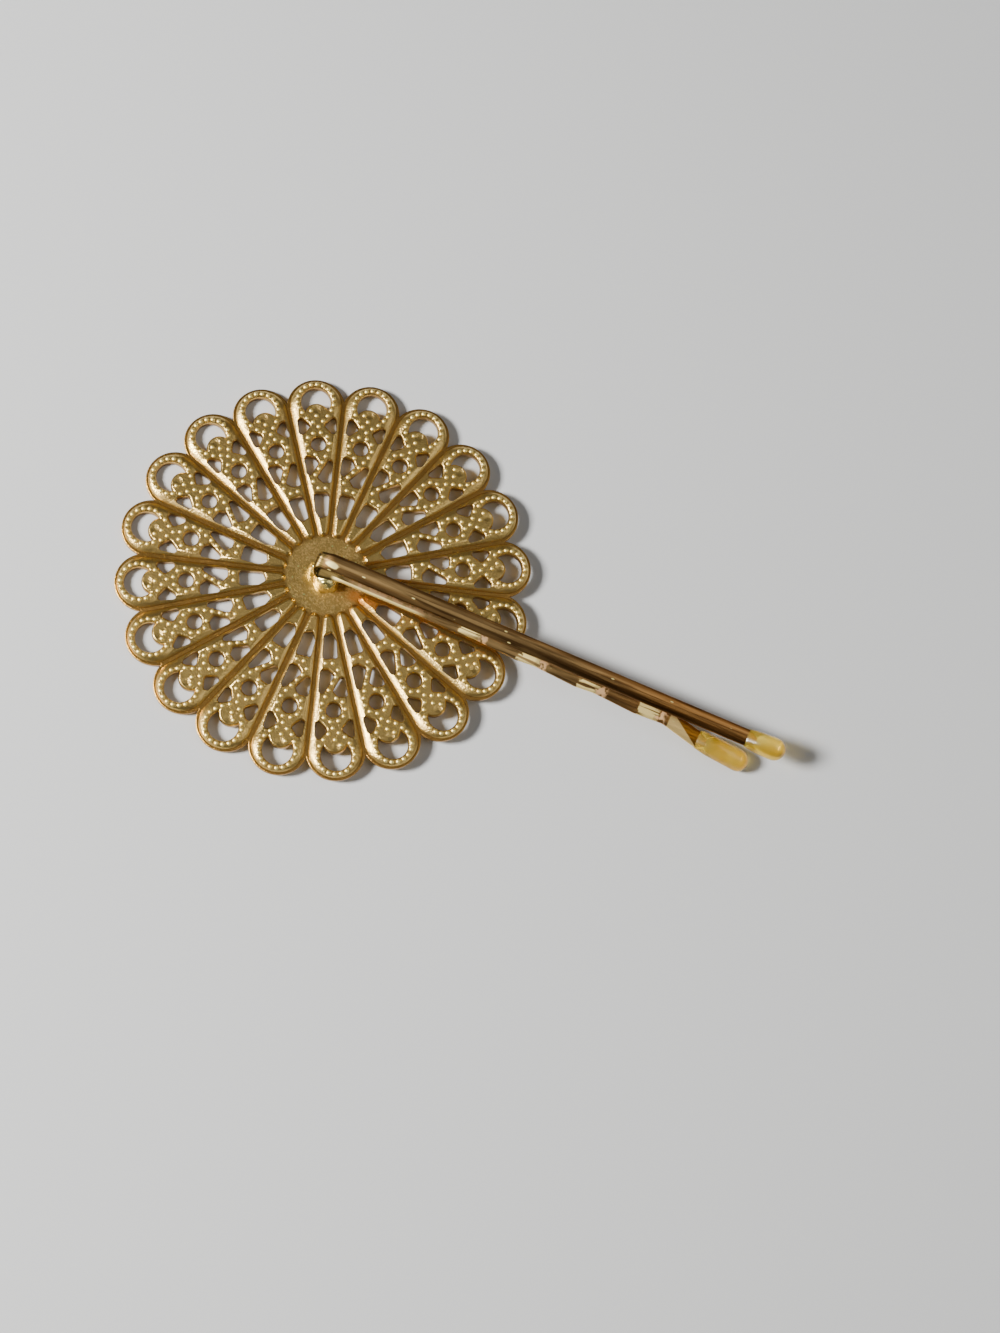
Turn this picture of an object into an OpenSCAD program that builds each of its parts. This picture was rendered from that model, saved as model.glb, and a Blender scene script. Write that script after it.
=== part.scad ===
// Sprung hair grip soldered by its bend to the hub of a pierced round pad with scalloped petals.
// Lengths are in millimetres. The grip runs along +X and lies on top of the pad, as the thing
// rests on a table: on two petal tips and on the flared tip of the crimped leg.
// The origin is the middle of the pad's flat front face, which is turned down.

/* [Pad] */
// Number of petals round the pad
petal_count = 20; // [18:1:22]
// Radius of the ring that the petal tips' centres lie on
petal_ring_r = 18.1; // [17.6:0.1:19]
// Radius of each round petal tip
petal_r = 3; // [2.9:0.1:3.3]
// Radius of the ring that the raised petals' round ends are centred on
raised_ring_r = 18.4; // [18.1:0.1:18.6]
// Thickness of the base plate, at the hub, in the grooves and in the outer rim
base_t = 0.5; // [0.5:0.05:0.8]
// Height of the raised petals over the base plate
relief_h = 0.35; // [0.2:0.05:0.35]
// Width of the grooves between the raised petals
groove_w = 0.8; // [0.7:0.02:0.84]
// Radius of the bare round hub
hub_r = 4.1; // [3.8:0.1:4.6]
// Turn of the first petal from the grip's direction, in degrees
petal_turn = 7.5; // [0:0.5:17.5]

/* [Pierced windows] */
// Radius at which the outer window's centre lies
outer_window_x = 18.62; // [18.4:0.02:18.8]
// Radius of the outer window
outer_window_r = 1.52; // [1.3:0.02:1.56]
// Radius at which the centre of the round tongue below the outer window lies
tongue_x = 17.13; // [16.9:0.01:17.3]
// Radius of the tongue
tongue_r = 1.3; // [1.1:0.05:1.35]
// How far the sides of the other windows lie outside the corner centres that are charted below
window_corner_r = 0.3; // [0.16:0.02:0.32]

/* [Beads] */
// Radius of each bead on the raised petals
bead_r = 0.17; // [0.12:0.01:0.2]
// Height of each bead
bead_h = 0.12; // [0.05:0.01:0.2]
// Number of beads in the arc round the outer window
arc_bead_count = 14; // [10:1:15]

/* [Grip] */
// Length from the bend's end to the far end of the straight leg's tip
grip_length = 51.4; // [50:0.1:56]
// How far the bend reaches past the middle of the hub
bend_reach = 1.4; // [1.2:0.05:1.6]
// Width of the flat wire
wire_w = 1.7; // [1.6:0.05:1.9]
// Thickness of the flat wire
wire_t = 0.5; // [0.44:0.02:0.54]
// Height of the straight leg's middle over the pad's front face, above the hub's middle
straight_leg_z = 3.65; // [3.65:0.05:3.8]
// Sideways offset of the straight leg from the hub's middle
straight_leg_y = 0.64; // [0.4:0.02:0.7]
// Slope of the grip down to its tips, in degrees
grip_slope = 2; // [1:0.5:2]
// Lean of the crimped leg to the right below the straight one, in degrees from upright
grip_lean = 35; // [30:1:36]
// Roll of the wire's wide faces to the right, in degrees
wire_roll = 15; // [8:1:16]
// How far the wire dips from the straight leg to the bend
bend_dip = 0.36; // [0.3:0.02:0.5]
// Distance between the legs' middles in the bend
bend_gap = 1.06; // [0.96:0.02:1.2]
// Distance between the legs' middles from the hub to the crimps
leg_gap = 0.88; // [0.88:0.02:0.96]

/* [Crimps and flare] */
// Number of crimps in the lower leg
crimp_count = 4; // [2:1:4]
// Length of one crimp
crimp_pitch = 6.6; // [6:0.1:6.8]
// Length of the rising side of a crimp
crimp_rise = 3.2; // [2.5:0.1:3.5]
// Distance between the legs' middles at the first crimp's crest
crest_gap = 0.9; // [0.9:0.02:1]
// Distance between the legs' middles at the first crimp's trough
trough_gap = 1.02; // [1.02:0.02:1.2]
// How much farther from the straight leg each next crimp lies
crimp_spread = 0.21; // [0.1:0.01:0.22]
// Distance along the grip from the hub's middle to the last crest, where the flare starts
flare_x = 37.4; // [37:0.1:38]
// Angle of the flare to the straight leg, in degrees
flare_angle = 17; // [15:0.5:20]
// Length of the flare
flare_length = 3.9; // [3.5:0.1:4.5]
// Angle of the flared leg's tip to the straight leg, in degrees
tip_angle = 6; // [4:0.5:12]

/* [Tips] */
// Radius of the resin tips
tip_r = 1.18; // [1.1:0.02:1.2]
// Length of the resin tip on the straight leg
straight_tip_l = 4.1; // [3.5:0.1:5]
// Length of the resin tip on the crimped leg
crimped_tip_l = 5.8; // [5:0.1:6.4]
// Width of the narrowed wire end inside a tip
tongue_w = 1.25; // [1.1:0.05:1.4]
// Thickness of the narrowed wire end inside a tip
tongue_t = 0.42; // [0.36:0.02:0.44]
// How far the wire reaches into a tip
tongue_l = 1.8; // [1.2:0.1:2.2]
// Gap all round the wire end inside a tip
tip_gap = 0.05; // [0.02:0.01:0.08]

/* [Hidden] */
$fn = 64;
metal_gold = [0.72, 0.57, 0.25];
wire_gold = [0.55, 0.4, 0.2];
resin_yellow = [0.9, 0.78, 0.38, 0.85];

petal_step = 360 / petal_count;
half_step = petal_step / 2;
pad_t = base_t + relief_h;
disc_r = petal_ring_r - 0.5;
raised_r = raised_ring_r * sin(half_step) - groove_w / 2;
side_inset = 0.03;

// Corner centres of one petal's windows, anticlockwise: x runs outwards from the hub and y to
// the left of it. The petal's two side windows mirror each other, the two inner ones don't.
side_window = [[16.52, 1.68], [15.38, 1.63], [16.0, 1.12]];
left_window = [[12.38, 1.22], [11.0, 1.08], [12.0, 0.42], [12.33, 0.65]];
right_window = [[11.95, -1.1], [10.5, -0.08], [10.15, -0.42], [10.12, -0.82]];
hub_window = [[8.4, 0.42], [6.9, 0.42], [6.4, 0.15], [6.55, -0.28], [8.38, -0.5]];

// Middles of one petal's beads, from the outer window to the hub window: the crossing of the two
// strings below the outer window, the ring round the middle and the string between the inner windows
crossing_beads = [
    [16.81, 1.01], [16.99, -1.14], [16.36, 0.41], [16.44, -0.62], [17.61, 0.54], [17.04, 0], [15.86, -0.14]
];
ring_beads = [
    [15.15, 0.45], [15.2, -0.35], [14.7, 1.0], [14.75, -0.98], [13.97, 1.22], [14.0, -1.22],
    [13.25, 1.0], [13.28, -1.05], [12.84, 0.36], [12.62, -0.7]
];
string_beads = [[11.97, -0.34], [11.31, 0.06], [10.66, 0.46], [9.95, 0.7], [9.24, 0.22], [9.2, -0.52]];
arc_bead_r = 1.87;
arc_bead_start = 129;
arc_bead_step = 19.4;
arc_beads = [
    for (i = [0 : arc_bead_count - 1])
        let (a = arc_bead_start - i * arc_bead_step)
        [outer_window_x + arc_bead_r * cos(a), arc_bead_r * sin(a)]
];
petal_beads = concat(arc_beads, crossing_beads, ring_beads, string_beads);

function unit(v) = v / norm(v);
function right_of(v) = [v[1], -v[0]];
function wrap(points, i) = points[(i + len(points)) % len(points)];
function edge_normal(points, i) = right_of(unit(wrap(points, i + 1) - wrap(points, i)));

// The sides of a window, each moved out from its corners' centres, which cuts the corners off
function window_sides(corners, r) = [
    for (i = [0 : len(corners) - 1], side = [i - 1, i])
        corners[i] + r * edge_normal(corners, side)
];

// Opening with cut corners, from its corners' centres
module window(corners) {
    polygon(window_sides(corners, window_corner_r));
}

// All openings of one petal, which points along +X
module petal_windows() {
    difference() {
        translate([outer_window_x, 0]) circle(r = outer_window_r, $fn = 48);
        translate([tongue_x, 0]) circle(r = tongue_r, $fn = 48);
    }
    window(side_window);
    mirror([0, 1]) window(side_window);
    window(left_window);
    window(right_window);
    window(hub_window);
}

module each_petal() {
    for (i = [0 : petal_count - 1]) rotate(petal_turn + i * petal_step) children();
}

// Flat outline of the base plate
module scalloped_disc() {
    circle(r = disc_r, $fn = 128);
    each_petal() translate([petal_ring_r, 0]) circle(r = petal_r);
}

// Half the width between a raised petal's straight sides, which cross its round end's edge
function side_half(x) = x * tan(half_step) - (groove_w / 2 + side_inset) / cos(half_step);

// Flat outline of one raised petal between two grooves
module raised_petal() {
    side_end = raised_ring_r - raised_r * sin(half_step);
    polygon([
        [hub_r, -side_half(hub_r)], [side_end, -side_half(side_end)],
        [side_end, side_half(side_end)], [hub_r, side_half(hub_r)]
    ]);
    translate([raised_ring_r, 0]) circle(r = raised_r);
}

// Pierced round pad with raised petals
module pad() {
    linear_extrude(height = base_t) difference() {
        scalloped_disc();
        each_petal() petal_windows();
    }
    translate([0, 0, base_t]) linear_extrude(height = relief_h) difference() {
        each_petal() raised_petal();
        each_petal() petal_windows();
    }
    translate([0, 0, pad_t]) linear_extrude(height = bead_h)
        each_petal() for (bead = petal_beads) translate(bead) circle(r = bead_r, $fn = 16);
}

// The grip's side view: u along the grip, v up from the straight leg's middle. The wire is wide
// at an angle to that view's depth, which makes it thicker in the view than it is.
wide_turn = grip_lean + wire_roll;
side_t = wire_t / cos(wide_turn);
bend_r = bend_gap / 2;
bend_x = bend_r + side_t / 2 - bend_reach;
bend_steps = 18;
dip_x = 0.8;
dip_angle = 16;
close_x = 1.9;
close_angle = 12;
crimp_lead = 4.2;
straight_end = grip_length - bend_reach - straight_tip_l;
mouth_l = 0.4;
tip_dir = [cos(tip_angle), -sin(tip_angle)];
flare_start = [flare_x, -crest_gap - (crimp_count - 1) * crimp_spread];
flare_knee = flare_start + flare_length * [cos(flare_angle), -sin(flare_angle)];
flare_mouth = flare_knee + mouth_l * tip_dir;
// The band's end leans as its width does, so it stops that much short of the tip's mouth
band_back = wire_w / 2 * sin(wide_turn) * sin(tip_angle);
flare_ball = flare_mouth + (crimped_tip_l - tip_r) * tip_dir;
first_trough = flare_x - crimp_rise - (crimp_count - 1) * crimp_pitch;

bend_line = [
    for (i = [0 : bend_steps])
        let (a = 90 + dip_angle + (180 - dip_angle + close_angle) * i / bend_steps)
        [bend_x + bend_r * cos(a), bend_r * (sin(a) - 1) - bend_dip]
];
crimp_line = [
    for (i = [0 : crimp_count - 1], top = [0, 1])
        [
            first_trough + i * crimp_pitch + top * crimp_rise,
            -(top ? crest_gap : trough_gap) - i * crimp_spread
        ]
];
wire_line = concat(
    [[straight_end, 0], [dip_x, 0]],
    bend_line,
    [[close_x, -leg_gap], [first_trough - crimp_lead, -leg_gap]],
    crimp_line,
    [flare_knee, flare_mouth - band_back * tip_dir]
);

// Edge of a band of the given half width along a line, on its right for a positive width
function band_edge(line, half) = [
    for (i = [0 : len(line) - 1])
        let (
            last = len(line) - 1,
            before = unit(line[max(i, 1)] - line[max(i, 1) - 1]),
            after = unit(line[min(i, last - 1) + 1] - line[min(i, last - 1)]),
            n = right_of(unit(before + after))
        )
        line[i] + n * half / (n * right_of(before))
];
function reversed(list) = [for (i = [len(list) - 1 : -1 : 0]) list[i]];

// Puts the grip's side view in its place over the pad
module over_pad() {
    translate([0, straight_leg_y, straight_leg_z]) rotate([90 - grip_lean, grip_slope, 0]) children();
}
function over_pad_point(p) =
    let (height = p[1] * cos(grip_lean))
    [
        p[0] * cos(grip_slope) + height * sin(grip_slope),
        straight_leg_y + p[1] * sin(grip_lean),
        straight_leg_z - p[0] * sin(grip_slope) + height * cos(grip_slope)
    ];

// Narrowed wire end that a tip sits on, along +X from the tip's mouth at the origin. Its root
// starts within the wire.
root_l = 0.2;
module wire_end(grow) {
    rotate([wide_turn, 0, 0])
        translate([-root_l, -tongue_t / 2 - grow, -tongue_w / 2 - grow])
            cube([root_l + tongue_l + grow, tongue_t + 2 * grow, tongue_w + 2 * grow]);
}

// Flat wire: the straight leg, the bend, the crimped leg and its flared end
module grip() {
    over_pad() {
        multmatrix([[1, 0, 0, 0], [0, 1, -tan(wide_turn), 0], [0, 0, 1, 0], [0, 0, 0, 1]])
            linear_extrude(height = wire_w * cos(wide_turn), center = true)
                polygon(concat(band_edge(wire_line, side_t / 2), reversed(band_edge(wire_line, -side_t / 2))));
        translate([straight_end, 0, 0]) wire_end(0);
        translate([flare_mouth[0], flare_mouth[1], 0]) rotate(-tip_angle) wire_end(0);
    }
}

// Pool of solder that holds the bend to the hub
solder_r = 1.2;
solder_l = 0.7;
solder_x = -0.65;
solder_y = -0.5;
solder_rise = 0.9;
module solder() {
    translate([solder_x, solder_y, base_t + solder_rise]) {
        rotate([0, 90, 0]) cylinder(r = solder_r, h = solder_l, $fn = 48);
        sphere(r = solder_r, $fn = 48);
        translate([solder_l, 0, 0]) sphere(r = solder_r, $fn = 48);
    }
}

// Dipped resin tip with its mouth at the origin, along +X
module resin_tip(length) {
    difference() {
        union() {
            translate([tip_gap, 0, 0]) rotate([0, 90, 0])
                cylinder(r = tip_r, h = length - tip_r - tip_gap, $fn = 48);
            translate([length - tip_r, 0, 0]) sphere(r = tip_r, $fn = 48);
        }
        wire_end(tip_gap);
    }
}

// The thing rests on two petal tips on the side away from the grip's tips, and on the flared tip.
rest_petal = petal_turn + floor((180 - petal_turn) / petal_step) * petal_step;
function petal_tip(a) = (petal_ring_r + petal_r) * [cos(a), sin(a), 0];
rest_a = petal_tip(rest_petal);
rest_b = petal_tip(rest_petal + petal_step);
rest_c = over_pad_point(flare_ball) - [0, 0, tip_r];
rest_up = unit(cross(rest_b - rest_a, rest_c - rest_a));

module at_rest() {
    rotate(a = acos(rest_up[2]), v = cross(rest_up, [0, 0, 1])) children();
}

// The pad, the grip and the solder are one piece of metal
module pad_and_grip() {
    at_rest() {
        color(metal_gold) pad();
        color(wire_gold) grip();
        color(wire_gold) solder();
    }
}

module straight_tip() {
    at_rest() over_pad() translate([straight_end, 0, 0])
        color(resin_yellow) resin_tip(straight_tip_l);
}

module crimped_tip() {
    at_rest() over_pad() translate([flare_mouth[0], flare_mouth[1], 0]) rotate(-tip_angle)
        color(resin_yellow) resin_tip(crimped_tip_l);
}

pad_and_grip();
straight_tip();
crimped_tip();
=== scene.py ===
"""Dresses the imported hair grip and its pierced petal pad.

Lengths are in millimetres in the pad's own frame: the pad's plain face lies in z = 0 with its
hub at the origin, and the grip runs along +X over it. Each finished mesh is then laid down at
rest and brought to metres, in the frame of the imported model.
"""

from __future__ import annotations

import logging
import math
from dataclasses import asdict, dataclass, field
from enum import Enum
from functools import reduce
from typing import Sequence

import bmesh
import bpy
from bmesh.types import BMEdge, BMesh, BMVert
from mathutils import Matrix, Vector, noise

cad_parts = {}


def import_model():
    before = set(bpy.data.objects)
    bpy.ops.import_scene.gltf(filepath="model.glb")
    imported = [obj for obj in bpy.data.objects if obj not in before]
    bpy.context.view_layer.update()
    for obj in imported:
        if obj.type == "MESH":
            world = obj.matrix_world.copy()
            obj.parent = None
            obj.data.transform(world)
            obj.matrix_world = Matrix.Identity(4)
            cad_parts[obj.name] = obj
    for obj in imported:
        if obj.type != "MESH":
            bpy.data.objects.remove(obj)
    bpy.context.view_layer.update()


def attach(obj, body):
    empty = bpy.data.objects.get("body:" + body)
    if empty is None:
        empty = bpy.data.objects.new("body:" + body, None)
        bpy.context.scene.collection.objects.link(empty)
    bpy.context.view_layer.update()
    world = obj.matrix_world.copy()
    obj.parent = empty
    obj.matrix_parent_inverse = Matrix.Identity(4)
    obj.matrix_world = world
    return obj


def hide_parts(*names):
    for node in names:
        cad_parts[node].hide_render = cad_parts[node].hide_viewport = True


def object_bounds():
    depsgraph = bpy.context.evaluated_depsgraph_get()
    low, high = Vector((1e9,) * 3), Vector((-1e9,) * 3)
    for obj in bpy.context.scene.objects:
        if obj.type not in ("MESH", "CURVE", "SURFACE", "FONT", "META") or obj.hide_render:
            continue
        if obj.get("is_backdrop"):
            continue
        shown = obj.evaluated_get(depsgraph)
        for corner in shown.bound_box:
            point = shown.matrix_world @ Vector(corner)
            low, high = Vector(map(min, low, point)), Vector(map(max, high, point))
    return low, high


LOG = logging.getLogger("hair_grip")
Point = tuple[float, float]
Range = tuple[float, float]
Triple = tuple[float, float, float]
Colour = tuple[float, float, float]
Socket = bpy.types.NodeSocket

METRES = 0.001
PIT_DEPTH = 0.0001  # metres
WHITE: Colour = (1.0, 1.0, 1.0)
# Places of a colour Mix node's two colours and of its result, among sockets of like names
MIX_A, MIX_B, MIX_RESULT = 6, 7, 2


class Slot(Enum):
    """The record's material slots."""

    METAL = "gold_plated_metal"
    RESIN = "resin"


def turn_z(degrees: float) -> Matrix:
    """Returns a turn round the pad's axis."""
    return Matrix.Rotation(math.radians(degrees), 4, "Z")


# ---- sizes that the pieces share ------------------------------------------------------------


@dataclass(frozen=True)
class PetalPlan:
    """Flat layout of the pad: how many petals there are and where they end."""

    count: int = 20
    first: float = 7.5
    ring_r: float = 18.1
    tip_r: float = 3.0
    floor_z: float = 0.5
    top_z: float = 0.85
    core_r: float = 0.4

    @property
    def step(self) -> float:
        """Angle from one petal to the next, in degrees."""
        return 360 / self.count

    @property
    def half(self) -> float:
        """Half a petal's angle, in radians."""
        return math.radians(self.step / 2)


@dataclass(frozen=True)
class GripPlan:
    """Side view of the grip: u along it and v up from the straight leg's middle."""

    thickness: float = 0.5
    leg_z: float = 3.65
    leg_y: float = 0.64
    slope: float = 2.0
    lean: float = 35.0
    roll: float = 15.0
    bend_reach: float = 1.4
    bend_dip: float = 0.36
    bend_gap: float = 1.06
    leg_gap: float = 0.88
    crimps: int = 4
    pitch: float = 6.6
    rise: float = 3.2
    crest: float = 0.9
    trough: float = 1.02
    spread: float = 0.21
    flare_u: float = 37.4
    flare_angle: float = 17.0
    flare_length: float = 3.9
    tip_angle: float = 6.0
    mouth_l: float = 0.4
    length: float = 51.4
    tip_r: float = 1.18
    straight_tip: float = 4.1
    crimped_tip: float = 5.8

    @property
    def straight_end(self) -> float:
        """Where the straight leg goes into its tip."""
        return self.length - self.bend_reach - self.straight_tip

    @property
    def knee(self) -> Vector:
        """Where the flare ends and the flared leg's tip starts to straighten.

        Returns:
            The place in the side view.
        """
        a = math.radians(self.flare_angle)
        last_crest = -self.crest - (self.crimps - 1) * self.spread
        flare = self.flare_length * Vector((math.cos(a), -math.sin(a), 0))
        return Vector((self.flare_u, last_crest, 0)) + flare

    def tip_point(self, along: float) -> Vector:
        """Returns the point so far along the flared leg's tip, from the tip's mouth."""
        a = math.radians(self.tip_angle)
        return self.knee + (self.mouth_l + along) * Vector((math.cos(a), -math.sin(a), 0))

    def over_pad(self) -> Matrix:
        """Puts the side view in its place over the pad.

        Returns:
            The matrix from the side view to the pad's frame.
        """
        place = Matrix.Translation((0, self.leg_y, self.leg_z))
        slope = Matrix.Rotation(math.radians(self.slope), 4, "Y")
        return place @ slope @ Matrix.Rotation(math.radians(90 - self.lean), 4, "X")

    @property
    def wide_turn(self) -> float:
        """Turn from the side view's depth to the way that the wire is wide in, in radians."""
        return math.radians(self.lean + self.roll)


@dataclass(frozen=True)
class Rest:
    """How the thing lies: on two petal tips and on the flared tip."""

    petals: PetalPlan
    grip: GripPlan

    def turn(self) -> Matrix:
        """Lays the thing on those three points.

        Returns:
            The turn from the pad's frame to the record's.
        """
        plan, grip = self.petals, self.grip
        reach = Vector((plan.ring_r + plan.tip_r, 0, 0))
        back = plan.first + math.floor((180 - plan.first) / plan.step) * plan.step
        a, b = turn_z(back) @ reach, turn_z(back + plan.step) @ reach
        ball = grip.over_pad() @ grip.tip_point(grip.crimped_tip - grip.tip_r)
        c = ball - Vector((0, 0, grip.tip_r))
        up = (b - a).cross(c - a).normalized()
        tilt = math.acos(up.z)
        return Matrix.Rotation(tilt, 4, up.cross(Vector((0, 0, 1))))

    def place(self) -> Matrix:
        """Returns the matrix from the pad's frame in millimetres to the record's in metres."""
        return self.turn() @ Matrix.Scale(METRES, 4)


# ---- mesh helpers ---------------------------------------------------------------------------


def walk(first: BMVert, last: BMVert) -> list[BMEdge]:
    """Walks along an open line of points.

    Args:
        first: The line's first point.
        last: Its last point.

    Returns:
        The line's edges in order.
    """
    edges: list[BMEdge] = []
    here = first
    while here is not last:
        edge = next(e for e in here.link_edges if not edges or e is not edges[-1])
        edges.append(edge)
        here = edge.other_vert(here)
    return edges


@dataclass
class Arc:
    """A point that is spun round a centre, which leaves a line of edges.

    Args:
        bm: The mesh that it is drawn in.
        centre: Middle of the arc.
        radius: Its radius.
        start: Angle of its first point, in degrees.
        sweep: How far it turns, in degrees.
        steps: Number of edges.
        z: Its height.
    """

    bm: BMesh
    centre: Point
    radius: float
    start: float
    sweep: float
    steps: int
    z: float
    first: BMVert = field(init=False)
    last: BMVert = field(init=False)
    edges: list[BMEdge] = field(init=False)

    def __post_init__(self) -> None:
        """Draws the arc."""
        cx, cy = self.centre
        a = math.radians(self.start)
        spot = (cx + self.radius * math.cos(a), cy + self.radius * math.sin(a), self.z)
        self.first = self.bm.verts.new(spot)
        made = bmesh.ops.spin(
            self.bm, geom=[self.first], cent=(cx, cy, self.z), axis=(0, 0, 1),
            angle=math.radians(self.sweep), steps=self.steps,
        )
        self.last = made["geom_last"][0]
        self.edges = walk(self.first, self.last)


def join_round(bm: BMesh, arcs: Sequence[Arc]) -> list[BMEdge]:
    """Joins arcs end to end into one closed loop.

    Args:
        bm: The mesh that the arcs are in.
        arcs: The arcs in order.

    Returns:
        All edges of the loop.
    """
    edges = [e for arc in arcs for e in arc.edges]
    for i, arc in enumerate(arcs):
        edges.append(bm.edges.new((arc.last, arcs[(i + 1) % len(arcs)].first)))
    return edges


def circle(bm: BMesh, centre: Point, radius: float, steps: int, z: float) -> list[BMEdge]:
    """Draws a closed circle with so many edges."""
    return join_round(bm, [Arc(bm, centre, radius, 0, 360 - 360 / steps, steps - 1, z)])


def bridge(bm: BMesh, loops: Sequence[Sequence[BMEdge]]) -> None:
    """Skins a row of loops, each to the next."""
    for near, far in zip(loops, loops[1:]):
        bmesh.ops.bridge_loops(bm, edges=list(near) + list(far))


def fill_flat(bm: BMesh, edges: Sequence[BMEdge]) -> None:
    """Fills the flat ground between an outline and the loops in it, with a crisp border.

    Args:
        bm: The mesh that it is drawn in.
        edges: The edges of the outline and of the loops.
    """
    bmesh.ops.triangle_fill(bm, use_beauty=True, edges=list(edges), normal=(0, 0, 1))
    for edge in edges:
        edge.smooth = False


def crisp(bm: BMesh, degrees: float) -> None:
    """Makes all faces smooth, and each edge sharp where they turn by more than the angle.

    Args:
        bm: The mesh.
        degrees: The angle.
    """
    for face in bm.faces:
        face.smooth = True
    for edge in bm.edges:
        if edge.calc_face_angle(0) > math.radians(degrees):
            edge.smooth = False


def finish_mesh(
    bm: BMesh, name: str, rest: Rest, material: bpy.types.Material
) -> bpy.types.Object:
    """Turns a finished bmesh into a piece that rides on the model.

    Args:
        bm: The mesh, in millimetres in the pad's frame. It is freed.
        name: The piece's name.
        rest: How the thing lies.
        material: Its finish.

    Returns:
        The new piece.
    """
    bmesh.ops.recalc_face_normals(bm, faces=bm.faces[:])
    bmesh.ops.transform(bm, matrix=rest.place(), verts=bm.verts[:])
    mesh = bpy.data.meshes.new(name)
    bm.to_mesh(mesh)
    bm.free()
    mesh.materials.append(material)
    piece = bpy.data.objects.new(name, mesh)
    bpy.context.scene.collection.objects.link(piece)
    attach(piece, "root")
    LOG.info("%s: %d faces", name, len(mesh.polygons))
    return piece


# ---- the pad --------------------------------------------------------------------------------


class Skin(Enum):
    """Material places of the petal's mesh while its windows are cut."""

    METAL = 0
    CLOSURE = 1


@dataclass(frozen=True)
class FlankRow:
    """One loop that a raised petal's flank is skinned over.

    Args:
        side: Distance of its straight sides from the middle of the groove, at the hub.
        lean: How much its sides turn in from the groove's direction, in degrees.
        reach: How far out its round end goes.
        root: Where its narrow end starts.
        up: Its height over the base plate.
    """

    side: float
    lean: float
    reach: float
    root: float
    up: float


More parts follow.
